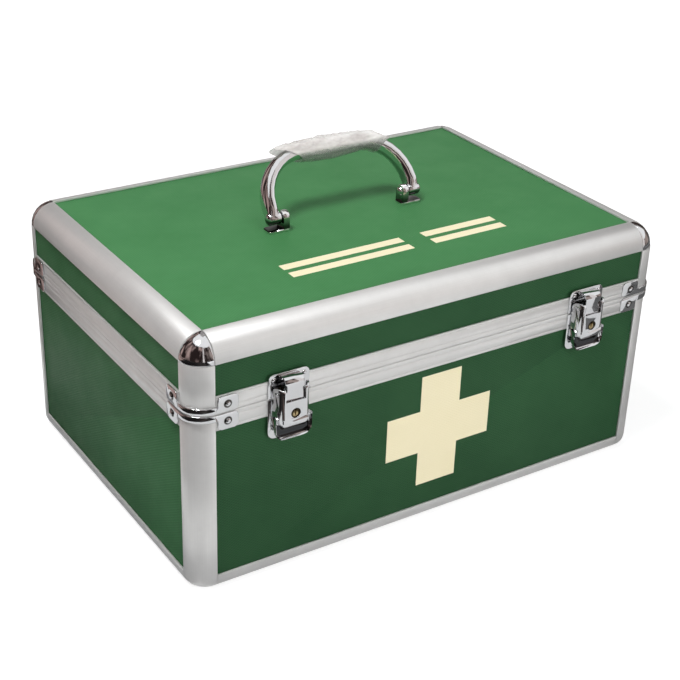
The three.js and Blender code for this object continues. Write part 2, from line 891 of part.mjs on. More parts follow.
// Depth and inset along the front of the scoop, drawn in by a wall: from its edge down into
// the cove, in a quarter of an ellipse, and up to the face in another
function scoopRun(wall) {
  const edge = leverDepth - scoopEdgeDrop - wall;
  const bottom = leverDepth - scoopCoveDrop - wall;
  const top = leverDepth - scoopFaceRound - wall;
  const quarterEllipse = (centre, reach, drop, from, steps) =>
    arc(0, 0, 1, from, from + quarter, steps).map(([across, down]) => [
      centre + drop * down,
      scoopCoveInset + reach * across,
    ]);
  return [
    ...quarterEllipse(edge, scoopCoveInset - wall, edge - bottom, Math.PI, 3),
    ...quarterEllipse(top, scoopCoveWidth + wall / 2, top - bottom, 3 * quarter, 4).slice(1),
    [leverDepth - wall, scoopFaceInset + wall / 2],
  ];
}

// Solid between the scoop's back and its front, with the front drawn in by a wall
function scoopSolid(wall, back, top) {
  const run = [[back, wall], ...scoopRun(wall)];
  return loft(run.map(([depth, inset]) => scoopRing(depth, inset, top)));
}

// Lever: a hollow housing whose cheeks run up beside the tongue, with a flared scoop for the
// finger at its lower end. The front of the scoop dips in a cove between its edge and the face.
function latchLever() {
  const scoop = scoopSolid(0, leverBackDepth, scoopTop);
  const scoopInside = scoopSolid(leverWall, leverBackDepth - overrun, scoopTop + overrun);
  const cheekTop = leverPivotHeight + leverCheekRadius;
  const housing = raised(housingPlan(0, leverBackDepth, leverDepth), leverFaceBottom, cheekTop);
  const inside = raised(
    housingPlan(leverWall, leverBackDepth - overrun, leverDepth - leverWall),
    scoopTop + joinDepth,
    cheekTop + overrun,
  );
  const front = leverDepth + overrun;
  const profile = [
    [0, scoopBottom - overrun],
    [0, leverFaceTop],
    [leverPivotDepth - leverCheekRadius, leverFaceTop],
    ...arc(leverPivotDepth, leverPivotHeight, leverCheekRadius, Math.PI, 0, 12),
    [front, leverPivotHeight],
    [front, scoopBottom - overrun],
  ];
  const envelope = along(profile, -leverBackWidth, leverBackWidth);
  const slotHalf = tongueWidth / 2 + leverSlotClearance;
  const tongueSlot = box([-slotHalf, -front, leverFaceTop], [slotHalf, 0, cheekTop + overrun]);
  const bore = barrel(
    leverPinRadius + leverPinClearance,
    -leverBackWidth,
    leverBackWidth,
    leverPivotDepth,
    leverPivotHeight,
  );
  const keyHole = new THREE.CylinderGeometry(
    lockRadius + lockClearance,
    lockRadius + lockClearance,
    2 * leverDepth,
    lockSides,
  ).translate(0, -leverDepth, lockHeight);
  const standOff = box(
    [-leverBackWidth, -scoopStandOff, scoopBottom - overrun],
    [leverBackWidth, 0, scoopStandOffTop],
  );
  const shell = cut(join(housing, scoop), scoopInside, inside, tongueSlot, bore, keyHole, standOff);
  return shell.intersect(solidOf(envelope));
}

// Lock cylinder with its keyway and the cam behind the lever's face
function lockCylinder() {
  const front = leverDepth - lockRecess;
  const back = front - lockLength;
  const plug = new THREE.CylinderGeometry(lockRadius, lockRadius, lockLength, lockSides);
  plug.translate(0, -(front + back) / 2, 0);
  const keyway = box(
    [-keywayWidth / 2, -front - overrun, -keywayHeight / 2],
    [keywayWidth / 2, keywayDepth - front, keywayHeight / 2],
  );
  const camHalf = camWidth / 2;
  const radii = [camRadius, camRadius, camRadius, camRadius];
  const cam = pressed(
    roundedRectangle(-camHalf, -camHalf, camHalf, camReach, radii, 2),
    back - camGap - camThickness,
    back + joinDepth,
  );
  return join(cut(plug, keyway), cam);
}

// Hinge leaf behind the body, for one rim: its knuckles lie on the axis at x runs
function hingeLeaf(up, runs) {
  const inner = fitGap + halfGap;
  const radii = up
    ? [0, 0, hingeLeafRadius, hingeLeafRadius]
    : [hingeLeafRadius, hingeLeafRadius, 0, 0];
  const start = hingeKnuckleRadius + hingeLeafStep;
  const low = up ? start : -hingeLeafHeight;
  const high = up ? hingeLeafHeight : -start;
  const outline = roundedRectangle(-hingeWidth / 2, low, hingeWidth / 2, high, radii);
  const leaf = pressed(outline, seatGap, seatGap + hingeLeafThickness);
  const side = up ? 1 : -1;
  const ends = [side * inner, side * (start + joinDepth)];
  const tabs = runs.flatMap(([from, to]) => [
    box(
      [from, -seatGap - hingeLeafThickness, Math.min(...ends)],
      [to, -seatGap, Math.max(...ends)],
    ),
    barrel(hingeKnuckleRadius, from, to, hingeAxisOut, 0),
  ]);
  return join(leaf, ...tabs);
}

function hingePair() {
  const half = hingeWidth / 2;
  const knuckle = hingeKnuckleShare * half;
  const baseRuns = [
    [-half, -knuckle - fitGap],
    [knuckle + fitGap, half],
  ];
  const lidRuns = [[-knuckle, knuckle]];
  const lidLeaf = cut(
    hingeLeaf(true, lidRuns),
    barrel(hingePinRadius + hingePinClearance, -half, half, hingeAxisOut, 0),
  );
  const pinHalf = half + hingePinHead;
  const pin = barrel(hingePinRadius, -pinHalf, pinHalf, hingeAxisOut, 0);
  const heads = [-1, 1].map((side) =>
    barrel(
      hingePinRadius + hingePinHead,
      Math.min(side * half, side * pinHalf),
      Math.max(side * half, side * pinHalf),
      hingeAxisOut,
      0,
    ),
  );
  return { lidLeaf, baseLeaf: join(hingeLeaf(false, baseRuns), pin, ...heads) };
}

// Base
const base = new THREE.Group();
const footSection = edgeSection(footReach, footCover, footRadius);
const topSection = edgeSection(edgeCover, edgeCover, edgeRadius);
const postNotch = rimCornerHeight - rimWeb;

const floorLow = skin + fitGap;
const floorEdge = footReach - panelGrip + fitGap;
base.add(
  piece(
    "base_floor_panel",
    flatPanel(floorEdge, 0, floorLow, floorLow + panelThickness),
    "laminate",
  ),
);
atSides(base, (side) => {
  const wallTop = splitHeight - halfGap - rimWeb - fitGap;
  const wall = wallPanel(side, footCover - panelGrip + fitGap, wallTop, 0, postNotch);
  const bar = edgeBar(footSection, side.span - 2 * (edgeCover + fitGap), -1);
  bar.translate(0, -side.reach, 0);
  return [
    piece(`base_${side.name}_panel`, wall, "laminate"),
    piece(`base_edge_${side.name}`, bar, "satin"),
  ];
});
const basePostTop = splitHeight - halfGap - rimCornerHeight - fitGap;
const basePost = join(
  raised(topSection.outline, 0, basePostTop, topSection.chamber),
  footCap(),
).intersect(footEnvelope(basePostTop));
const brace = cornerBrace();
atCorners(base, (name) => {
  const fitting = piece(`base_brace_${name}`, brace, "chrome");
  fitting.position.z = splitHeight;
  fitting.quaternion.setFromRotationMatrix(
    new THREE.Matrix4().makeBasis(
      new THREE.Vector3(0, 1, 0),
      new THREE.Vector3(1, 0, 0),
      new THREE.Vector3(0, 0, -1),
    ),
  );
  return [piece(`base_post_${name}`, basePost, "satin"), fitting];
});
const baseRim = cut(rimFrame(baseRimSection()), ...rimCornerCutters(-1));
const rim = piece("base_rim", baseRim, "satin");
rim.position.z = splitHeight;
base.add(rim);
const liningLow = edgeInside + fitGap;
base.add(
  piece(
    "base_lining",
    liningTray(liningLow, splitHeight - halfGap - maleLipThickness - fitGap, true),
    "foam",
  ),
);

// Lid, built up from the split
const lid = new THREE.Group();
lid.position.z = splitHeight;
const topHigh = lidHeight - panelRecess;
lid.add(
  piece(
    "lid_top_panel",
    flatPanel(panelEdge, panelGrip, topHigh - panelThickness, topHigh),
    "laminate",
  ),
);
atSides(lid, (side) => {
  const wall = wallPanel(
    side,
    halfGap + rimWeb + fitGap,
    lidHeight - panelEdge,
    postNotch,
    panelGrip,
  );
  const bar = edgeBar(topSection, side.span - 2 * (edgeCover + fitGap), 1);
  bar.translate(0, -side.reach, lidHeight);
  return [
    piece(`lid_${side.name}_panel`, wall, "laminate"),
    piece(`lid_edge_${side.name}`, bar, "satin"),
  ];
});
const lidPost = raised(
  topSection.outline,
  halfGap + rimCornerHeight + fitGap,
  lidHeight - edgeCover - fitGap,
  topSection.chamber,
);
const ballSphere = (radius) => {
  const sphere = new THREE.SphereGeometry(radius, ballSides, ballSides / 2);
  return sphere.translate(edgeCover, edgeCover, lidHeight - edgeCover);
};
const ballCube = box(
  [-overrun, -overrun, lidHeight - edgeCover],
  [edgeCover, edgeCover, lidHeight + overrun],
);
const ball = cut(ballSphere(edgeCover), ballSphere(edgeCover - ballWall)).intersect(
  solidOf(ballCube),
);
atCorners(lid, (name) => [
  piece(`lid_post_${name}`, lidPost, "satin"),
  piece(`lid_ball_corner_${name}`, ball, "chrome"),
  piece(`lid_brace_${name}`, brace, "chrome"),
]);
lid.add(piece("lid_rim", cut(rimFrame(lidRimSection()), ...rimCornerCutters(1)), "satin"));
lid.add(
  piece(
    "lid_lining",
    liningTray(maleLipRise + 2 * fitGap, lidHeight - edgeInside - fitGap, false),
    "foam",
  ),
);

// Carrying handle on the lid's top panel
const handle = new THREE.Group();
handle.position.set(0, handlePlace, topHigh);
const foot = handleFoot();
const rightFoot = piece("handle_foot_right", foot, "chrome");
const leftFoot = piece("handle_foot_left", foot, "chrome");
leftFoot.rotation.z = Math.PI;
const swing = new THREE.Group();
swing.position.z = handlePivotHeight;
swing.rotation.x = -handleLean;
swing.add(
  piece("handle_bail", handleBail(), "chrome"),
  piece("handle_film", handleFilm(), "film"),
);
handle.add(rightFoot, leftFoot, swing);
lid.add(handle);

// Latches on the front
const latchPlace = bodyWidth / 2 - latchInset;
const latchParts = { catcher: latchCatch(), plate: latchPlate(), lever: latchLever() };
for (const [name, side] of [
  ["left", -1],
  ["right", 1],
]) {
  const onLid = new THREE.Group();
  onLid.position.set(side * latchPlace, -bodyDepth / 2, 0);
  onLid.add(piece(`latch_catch_${name}`, latchParts.catcher, "chrome"));
  lid.add(onLid);
  const onBase = new THREE.Group();
  onBase.position.set(side * latchPlace, -bodyDepth / 2, splitHeight);
  const lock = piece(`latch_lock_${name}`, lockCylinder(), "brass");
  lock.position.z = lockHeight;
  onBase.add(
    piece(`latch_plate_${name}`, latchParts.plate, "chrome"),
    piece(`latch_lever_${name}`, latchParts.lever, "chrome"),
    lock,
  );
  base.add(onBase);
}

// Hinges on the rear
const hingePlace = bodyWidth / 2 - hingeInset;
const hinge = hingePair();
for (const [name, side] of [
  ["left", -1],
  ["right", 1],
]) {
  const onLid = new THREE.Group();
  onLid.position.set(side * hingePlace, bodyDepth / 2, 0);
  onLid.rotation.z = Math.PI;
  onLid.add(piece(`hinge_lid_leaf_${name}`, hinge.lidLeaf, "chrome"));
  lid.add(onLid);
  const onBase = new THREE.Group();
  onBase.position.set(side * hingePlace, bodyDepth / 2, splitHeight);
  onBase.rotation.z = Math.PI;
  onBase.add(piece(`hinge_base_leaf_${name}`, hinge.baseLeaf, "chrome"));
  base.add(onBase);
}

const firstAidBox = new THREE.Group();
firstAidBox.add(base, lid);
export default firstAidBox;
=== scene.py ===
import math

import bpy
from mathutils import Euler, Matrix, Vector, noise


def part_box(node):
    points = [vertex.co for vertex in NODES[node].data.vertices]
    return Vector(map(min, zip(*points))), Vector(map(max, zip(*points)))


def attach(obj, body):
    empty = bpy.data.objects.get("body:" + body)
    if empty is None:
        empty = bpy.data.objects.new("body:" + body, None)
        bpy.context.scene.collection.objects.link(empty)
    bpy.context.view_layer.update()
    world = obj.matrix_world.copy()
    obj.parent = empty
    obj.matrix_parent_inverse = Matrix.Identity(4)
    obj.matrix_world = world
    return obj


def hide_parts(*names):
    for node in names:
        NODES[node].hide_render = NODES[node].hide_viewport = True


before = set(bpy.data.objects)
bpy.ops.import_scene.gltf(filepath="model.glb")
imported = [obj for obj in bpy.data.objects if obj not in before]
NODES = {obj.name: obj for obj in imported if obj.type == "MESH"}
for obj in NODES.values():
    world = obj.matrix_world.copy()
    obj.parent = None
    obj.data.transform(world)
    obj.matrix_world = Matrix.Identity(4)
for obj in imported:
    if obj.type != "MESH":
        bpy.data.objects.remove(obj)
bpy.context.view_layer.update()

MM = 0.001

# Camera
CAMERA_PLACE = (-0.5253, -0.8001, 0.5848)
CAMERA_AZIMUTH = math.radians(-33.41)
CAMERA_ELEVATION = math.radians(27.84)
CAMERA_ROLL = math.radians(1.94)
CAMERA_LENS = 75.8
CAMERA_SENSOR = 36.0


# Node trees

def set_inputs(node, values):
    """Sets a node's inputs by name or place; another node's output is linked instead."""
    tree = node.id_data
    for key, value in values.items():
        socket = node.inputs[key]
        if isinstance(value, bpy.types.NodeSocket):
            tree.links.new(value, socket)
        else:
            socket.default_value = value


def add(tree, kind, inputs=None, **settings):
    """A node with its settings and inputs."""
    node = tree.nodes.new(kind)
    for name, value in settings.items():
        setattr(node, name, value)
    set_inputs(node, inputs or {})
    return node


def maths(tree, operation, first, second=0.0, third=None):
    node = add(tree, "ShaderNodeMath", {0: first, 1: second}, operation=operation)
    if third is not None:
        set_inputs(node, {2: third})
    return node.outputs[0]


def ramp(tree, factor, low, high, out_low=0.0, out_high=1.0):
    """A value carried from one range to another and held within it."""
    inputs = {
        "Value": factor,
        "From Min": low,
        "From Max": high,
        "To Min": out_low,
        "To Max": out_high,
    }
    return add(tree, "ShaderNodeMapRange", inputs, clamp=True).outputs[0]


def blend_colour(tree, factor, first, second):
    node = add(tree, "ShaderNodeMix", data_type="RGBA")
    set_inputs(node, {0: factor, 6: first, 7: second})
    return node.outputs[2]


def own_place(tree, scale):
    """The surface's own place, stretched by a scale along each axis."""
    place = add(tree, "ShaderNodeTexCoord").outputs["Object"]
    return add(tree, "ShaderNodeMapping", {"Vector": place, "Scale": scale}).outputs[0]


def own_axes(tree):
    """The surface's own place as x, y and z."""
    place = add(tree, "ShaderNodeTexCoord").outputs["Object"]
    return add(tree, "ShaderNodeSeparateXYZ", {0: place}).outputs


def hypotenuse(tree, first, second):
    squares = [maths(tree, "MULTIPLY", value, value) for value in (first, second)]
    return maths(tree, "SQRT", maths(tree, "ADD", *squares))


def cloud(tree, place, scale, detail=2.0, rough=0.5):
    inputs = {"Vector": place, "Scale": scale, "Detail": detail, "Roughness": rough}
    return add(tree, "ShaderNodeTexNoise", inputs).outputs["Fac"]


def bump(tree, height, distance, strength=1.0, under=None):
    inputs = {"Height": height, "Distance": distance, "Strength": strength}
    if under is not None:
        inputs["Normal"] = under
    return add(tree, "ShaderNodeBump", inputs).outputs[0]


def new_material(name):
    """A bare material with its shader."""
    material = bpy.data.materials.new(name)
    material.use_nodes = True
    tree = material.node_tree
    return material, tree, tree.nodes["Principled BSDF"]


def glow_material(name):
    """A material with no shader yet."""
    material = bpy.data.materials.new(name)
    material.use_nodes = True
    material.node_tree.nodes.clear()
    return material, material.node_tree


def repaint(material, mask, first, second):
    """Carries the material's colour from the first to the second as the mask rises to 1."""
    tree = material.node_tree
    colour = blend_colour(tree, mask, first, second)
    set_inputs(tree.nodes["Principled BSDF"], {"Base Color": colour})
    return material


def smooth(piece):
    piece.data.polygons.foreach_set("use_smooth", [True] * len(piece.data.polygons))


# Materials

SPLIT_HEIGHT = 133.3 * MM
HANDLE_PIVOT = Vector((0, -3.5, 192.0)) * MM
HANDLE_LEAN = math.radians(37)
HANDLE_UP = Vector((0, math.sin(HANDLE_LEAN), math.cos(HANDLE_LEAN)))
# One green laminate in three copies: the flat panels' as lit from above, and darker copies of
# painted shade for the front and rear walls and for the side walls
GREEN_LIT_TOP = ((0.066, 0.232, 0.084, 1), (0.038, 0.155, 0.050, 1))
GREEN_SHADED_WALLS = ((0.027, 0.088, 0.035, 1), (0.013, 0.046, 0.020, 1))
GREEN_SHADED_SIDES = ((0.044, 0.145, 0.056, 1), (0.022, 0.076, 0.031, 1))
CREAM = ((0.89, 0.81, 0.57, 1), (0.84, 0.75, 0.49, 1))
DIAMOND_WIDTH = 3.2 * MM
DIAMOND_HEIGHT = 2.0 * MM
ALUMINIUM_DARK = (0.63, 0.625, 0.615, 1)
ALUMINIUM_PALE = (0.73, 0.725, 0.715, 1)
CHROME = (0.72, 0.725, 0.74, 1)
CHROME_ROUGHNESS = (0.07, 0.19)
# Lighter chrome for the handle's feet, painted light where they catch it
FOOT_CHROME_LIT = (0.80, 0.80, 0.80, 1)
# Painted shade, under the bail's barrels and on the handle's feet
PAINTED_SHADE = (0.07, 0.074, 0.07, 1)
# Painted shade in a ring round each rivet of the braces
RIVET_RING_SHADE = (0.10, 0.095, 0.09, 1)
# Painted shade and dark reflection in the cove of each latch lever
COVE_SHADE = (0.05, 0.052, 0.055, 1)
# Painted shade over the lock plug, and its painted glint
BRASS_SHADED = (0.045, 0.034, 0.02, 1)
BRASS_GLINT = (0.78, 0.62, 0.34, 1)
FOAM_DARK = (0.020, 0.021, 0.023, 1)
FOAM_PALE = (0.036, 0.037, 0.040, 1)


def diamonds(tree, across, up):
    """Height of the fine embossed diamond pattern in the plane of two axes."""
    parts = own_axes(tree)
    u = maths(tree, "DIVIDE", parts[across], DIAMOND_WIDTH)
    v = maths(tree, "DIVIDE", parts[up], DIAMOND_HEIGHT)
    ridges = []
    for operation in ("ADD", "SUBTRACT"):
        slanted = maths(tree, operation, u, v)
        ridges.append(maths(tree, "PINGPONG", slanted, 0.5))
    return maths(tree, "MULTIPLY", maths(tree, "MULTIPLY", *ridges), 4.0)


def laminate(name, across, up, colours):
    """Thin embossed plastic sheet: fine diamonds, a softer grain and uneven gloss."""
    material, tree, shader = new_material(name)
    place = own_place(tree, (1, 1, 1))
    diamond = diamonds(tree, across, up)
    grain = cloud(tree, place, 2600.0, 2.0, 0.6)
    patches = cloud(tree, place, 22.0, 3.0, 0.6)
    height = maths(tree, "MULTIPLY_ADD", grain, 0.35, diamond)
    shade = maths(tree, "MULTIPLY_ADD", diamond, 0.8, ramp(tree, patches, 0.3, 0.7, 0.0, 0.3))
    set_inputs(shader, {
        "Base Color": blend_colour(tree, ramp(tree, shade, 0.0, 1.1), *colours),
        "Roughness": ramp(tree, patches, 0.3, 0.7, 0.46, 0.58),
        "Specular IOR Level": 0.12,
        "Normal": bump(tree, height, 0.16 * MM, 0.7),
    })
    return material


def aluminium(name, stretch):
    """Satin anodised extrusion: fine draw lines along it, faint rubs and handling marks."""
    material, tree, shader = new_material(name)
    lines = cloud(tree, own_place(tree, stretch), 1.0, 3.0, 0.65)
    place = own_place(tree, (1, 1, 1))
    rubs = cloud(tree, place, 55.0, 4.0, 0.65)
    specks = cloud(tree, place, 900.0, 1.0, 0.5)
    tone = maths(tree, "MULTIPLY_ADD", lines, 0.5, maths(tree, "MULTIPLY", rubs, 0.5))
    streaks = ramp(tree, tone, 0.3, 0.7)
    set_inputs(shader, {
        "Base Color": blend_colour(tree, streaks, ALUMINIUM_DARK, ALUMINIUM_PALE),
        "Metallic": 0.5,
        "Roughness": ramp(tree, tone, 0.3, 0.7, 0.40, 0.33),
        "Normal": bump(tree, lines, 0.02 * MM, 0.35, bump(tree, specks, 0.02 * MM, 0.25)),
    })
    return material


def chrome(name):
    """Bright plate on pressed steel: slightly wavy, with faint dust and wiping marks."""
    material, tree, shader = new_material(name)
    place = own_place(tree, (1, 1, 1))
    waves = cloud(tree, place, 130.0, 2.0, 0.5)
    marks = cloud(tree, place, 420.0, 5.0, 0.7)
    set_inputs(shader, {
        "Base Color": CHROME,
        "Metallic": 1.0,
        "Roughness": ramp(tree, marks, 0.45, 0.75, *CHROME_ROUGHNESS),
        "Normal": bump(tree, waves, 0.2 * MM, 0.2),
    })
    return material


# The handle's feet: which parts of the lug and the plate keep bright chrome; the rest gets painted
# shade
FOOT_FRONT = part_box("handle_foot_left")[0].y
FOOT_LOW, FOOT_HIGH = (corner.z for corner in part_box("handle_foot_left"))
FOOT_PLATE = 1.6 * MM
LUG_LIT = (FOOT_LOW + 5 * MM, FOOT_HIGH - 1 * MM)
PLATE_SIDES = (FOOT_LOW + 0.6 * FOOT_PLATE, FOOT_LOW + 0.9 * FOOT_PLATE)
PLATE_TOP = (FOOT_LOW + 1.1 * FOOT_PLATE, FOOT_LOW + 1.3 * FOOT_PLATE)
FRONT_STRIP = (FOOT_FRONT + 1.4 * MM, FOOT_FRONT + 1.8 * MM)
SHADE_EDGE_SCATTER = 1.5 * MM
BARREL_LIT = (HANDLE_PIVOT.z - 0.6 * MM, HANDLE_PIVOT.z + 1.2 * MM)


def foot_chrome(name):
    """Chrome of the handle's feet: painted shade on the lug's lower part and the plate's top, and
    lighter chrome as painted light on the lug's upper part, the plate's sides and its front strip.
    """
    material = chrome(name)
    tree = material.node_tree
    _, depth, height = own_axes(tree)
    # Noise scatters the edge of the painted shade on the lug
    shade_noise = cloud(tree, own_place(tree, (1, 1, 1)), 300.0, 4.0, 0.6)
    level = maths(tree, "MULTIPLY_ADD", shade_noise, SHADE_EDGE_SCATTER, height)
    lug = ramp(tree, level, *LUG_LIT)
    sides = ramp(tree, height, *PLATE_SIDES, 1.0, 0.0)
    front = ramp(tree, depth, *FRONT_STRIP, 1.0, 0.0)
    on_plate = ramp(tree, height, *PLATE_TOP, 1.0, 0.0)
    lit_mask = maths(tree, "MAXIMUM", lug, sides)
    lit_mask = maths(tree, "MAXIMUM", lit_mask, maths(tree, "MULTIPLY", front, on_plate))
    return repaint(material, lit_mask, PAINTED_SHADE, FOOT_CHROME_LIT)


def bail_chrome(name):
    """Chrome of the bail, with painted shade under the two barrels that it turns on."""
    material = chrome(name)
    tree = material.node_tree
    lit_mask = ramp(tree, own_axes(tree)[2], *BARREL_LIT)
    return repaint(material, lit_mask, PAINTED_SHADE, CHROME)


# Rivets of the corner braces: from the body's corner, and above or below the split
BODY_HALF = (190 * MM, 131.5 * MM)
RIVET_FROM_CORNER = 24.5 * MM
RIVET_FROM_SPLIT = 6.0 * MM
RIVET_RADIUS = 2.3 * MM
RING_HALF = (0.35 * MM, 0.8 * MM)


def brace_chrome(name):
    """Chrome of the corner braces, with a painted dark ring of shade round each rivet."""
    material = chrome(name)
    tree = material.node_tree
    parts = own_axes(tree)
    from_split = maths(tree, "ABSOLUTE", maths(tree, "SUBTRACT", parts[2], SPLIT_HEIGHT))
    up = maths(tree, "SUBTRACT", from_split, RIVET_FROM_SPLIT)
    nearest = 1.0
    for part, half in zip(parts[:2], BODY_HALF):
        across = maths(tree, "SUBTRACT", maths(tree, "ABSOLUTE", part), half - RIVET_FROM_CORNER)
        nearest = maths(tree, "MINIMUM", hypotenuse(tree, across, up), nearest)
    off_ring = maths(tree, "ABSOLUTE", maths(tree, "SUBTRACT", nearest, RIVET_RADIUS))
    ring = ramp(tree, off_ring, *RING_HALF, 1.0, 0.0)
    return repaint(material, ring, CHROME, RIVET_RING_SHADE)


# Places on a latch: its middle, and the split as the height that others are measured from
LATCH_MIDDLE = 122.3 * MM
BODY_FRONT = 131.5 * MM
COVE_DEPTH = 8.5 * MM
COVE_HALF = 11.7 * MM
COVE_LOW = -26.0 * MM
COVE_HIGH = -16.3 * MM
COVE_SOFT = 0.3 * MM
LOCK_HEIGHT = -8.4 * MM
GLINT_DROP = 0.9 * MM
GLINT_REACH = (1.2 * MM, 2.4 * MM)


def latch_place(tree):
    """Across from the latch's middle, out from the body's front, and up from the split."""
    x, y, z = own_axes(tree)
    side = maths(tree, "ABSOLUTE", x)
    across = maths(tree, "ABSOLUTE", maths(tree, "SUBTRACT", side, LATCH_MIDDLE))
    out = maths(tree, "SUBTRACT", maths(tree, "MULTIPLY", y, -1.0), BODY_FRONT)
    return across, out, maths(tree, "SUBTRACT", z, SPLIT_HEIGHT)


def lever_chrome(name):
    """Chrome of the lever, with painted dark shade and reflection down in the cove round its lower
    end.
    """
    material = chrome(name)
    tree = material.node_tree
    across, out, up = latch_place(tree)
    limits = (
        ramp(tree, out, COVE_DEPTH - COVE_SOFT, COVE_DEPTH, 1.0, 0.0),
        ramp(tree, across, COVE_HALF - COVE_SOFT, COVE_HALF, 1.0, 0.0),
        ramp(tree, up, COVE_HIGH - COVE_SOFT, COVE_HIGH, 1.0, 0.0),
        ramp(tree, up, COVE_LOW, COVE_LOW + COVE_SOFT),
    )
    cove = limits[0]
    for limit in limits[1:]:
        cove = maths(tree, "MINIMUM", cove, limit)
    return repaint(material, cove, CHROME, COVE_SHADE)


def brass(name):
    """Turned lock plug: painted dark shade round its rim and over most of it, and a painted glint
    just below the middle.
    """
    material, tree, shader = new_material(name)
    marks = cloud(tree, own_place(tree, (1, 1, 1)), 700.0, 4.0, 0.6)
    across, _, up = latch_place(tree)
    below = maths(tree, "SUBTRACT", up, LOCK_HEIGHT - GLINT_DROP)
    glint = ramp(tree, hypotenuse(tree, across, below), *GLINT_REACH, 1.0, 0.0)
    glint_tone = ramp(tree, maths(tree, "MULTIPLY", glint, marks), 0.1, 0.5)
    set_inputs(shader, {
        "Base Color": blend_colour(tree, glint_tone, BRASS_SHADED, BRASS_GLINT),
        "Metallic": 1.0,
        "Roughness": ramp(tree, marks, 0.3, 0.7, 0.25, 0.42),
        "Normal": bump(tree, marks, 0.05 * MM, 0.4),
    })
    return material


def foam(name):
    """Closed-cell foam lining with its fine pores."""
    material, tree, shader = new_material(name)
    place = own_place(tree, (1, 1, 1))
    cells = add(tree, "ShaderNodeTexVoronoi", {"Vector": place, "Scale": 900.0}).outputs["Distance"]
    soft = cloud(tree, place, 40.0, 3.0, 0.6)
    patches = ramp(tree, soft, 0.3, 0.7)
    set_inputs(shader, {
        "Base Color": blend_colour(tree, patches, FOAM_DARK, FOAM_PALE),
        "Roughness": ramp(tree, soft, 0.3, 0.7, 0.82, 0.95),
        "Sheen Weight": 0.25,
        "Sheen Roughness": 0.5,
        "Normal": bump(tree, cells, 0.25 * MM, 0.6),
    })
    return material


# Film: its tones, and its lower band of painted shade by the height above the pivot in the handle's
# plane
FILM_HAZY = (0.78, 0.73, 0.70, 1)
FILM_PALE = (0.92, 0.90, 0.88, 1)
FILM_WARM = (0.90, 0.76, 0.68, 1)
FILM_UNDERSIDE_SHADE = (0.26, 0.28, 0.25, 1)
THIN_BAND = (35.5 * MM, 41.0 * MM)
UNDERSIDE_SHADE_REACH = (36.5 * MM, 41.0 * MM)


def film(name):
    """Thin cloudy plastic film, creased, with sharp small highlights and painted shade along its
    lower band.
    """
    material, tree, shader = new_material(name)
    place = own_place(tree, (0.45, 1, 1))
    creases = cloud(tree, place, 320.0, 4.0, 0.6)
    haze = cloud(tree, place, 110.0, 3.0, 0.6)
    inputs = {0: add(tree, "ShaderNodeTexCoord").outputs["Object"], 1: HANDLE_UP}
    along_up = add(tree, "ShaderNodeVectorMath", inputs, operation="DOT_PRODUCT")
    up = maths(tree, "SUBTRACT", along_up.outputs["Value"], HANDLE_PIVOT.dot(HANDLE_UP))
    thin = ramp(tree, up, *THIN_BAND, 0.55, 1.0)
    alpha = maths(tree, "MULTIPLY", ramp(tree, haze, 0.35, 0.65, 0.34, 0.62), thin)
    tint = cloud(tree, place, 45.0, 2.0, 0.5)
    pale = blend_colour(tree, ramp(tree, haze, 0.35, 0.65), FILM_HAZY, FILM_PALE)
    warm = blend_colour(tree, ramp(tree, tint, 0.52, 0.7, 0.0, 0.6), pale, FILM_WARM)
    set_inputs(shader, {
        # Painted shade: grey-green along the film's lower band
        "Base Color": blend_colour(tree, ramp(tree, up, *UNDERSIDE_SHADE_REACH), FILM_UNDERSIDE_SHADE, warm),
        "Roughness": ramp(tree, creases, 0.3, 0.7, 0.12, 0.30),
        "Alpha": alpha,
        "IOR": 1.5,
        "Normal": bump(tree, creases, 0.5 * MM, 0.6),
    })
    return material


# Scales of the aluminium's draw lines, across and along them
LINE = 5200.0
LONG = 14.0
MATERIALS = {
    # Painted light and shade: one green laminate, darker on the walls and sides than on the top
    "front": laminate("laminate_front", 0, 2, GREEN_SHADED_WALLS),
    "side": laminate("laminate_side", 1, 2, GREEN_SHADED_SIDES),
    "flat": laminate("laminate_flat", 0, 1, GREEN_LIT_TOP),
    "cream_front": laminate("print_front", 0, 2, CREAM),
    "cream_flat": laminate("print_flat", 0, 1, CREAM),
    "along_x": aluminium("aluminium_along_x", (LONG, LINE, LINE)),
    "along_y": aluminium("aluminium_along_y", (LINE, LONG, LINE)),
    "along_z": aluminium("aluminium_along_z", (LINE, LINE, LONG)),
    "rim": aluminium("aluminium_rim", (LONG, LONG, LINE)),
    "chrome": chrome("chrome"),
    "foot_chrome": foot_chrome("foot_chrome"),
    "bail_chrome": bail_chrome("bail_chrome"),
    "brace_chrome": brace_chrome("brace_chrome"),
    "lever_chrome": lever_chrome("lever_chrome"),
    "brass": brass("brass"),
    "foam": foam("foam"),
    "film": film("film"),
}


def material_of(node):
    """The material of a CAD node, from what it is and which way it runs; the green laminate's
    copies differ by painted light and shade.
    """
    if node.endswith("_lining"):
        return "foam"
    if node.endswith("_panel"):
        if "floor" in node or "top" in node:
            return "flat"
        return "front" if "front" in node or "rear" in node else "side"
    if node.endswith("_rim"):
        return "rim"
    if "_edge_" in node:
        return "along_x" if "front" in node or "rear" in node else "along_y"
    if "_post_" in node:
        return "along_z"
    if node.startswith("latch_lock"):
        return "brass"
    if node.startswith("latch_lever"):
        return "lever_chrome"
    if node == "handle_bail":
        return "bail_chrome"
    if "_brace_" in node:
        return "brace_chrome"
    return "foot_chrome" if node.startswith("handle_foot") else "chrome"


# CAD nodes: their finish, softened edges and smooth rounds

EDGE_WIDTHS = {"brass": 0.12 * MM, "foam": 0.3 * MM}
CHROME_EDGE = 0.28 * MM
EDGE_WIDTH = 0.18 * MM
SHARP_EDGE = math.radians(32)
WELD_REACH = 0.002 * MM


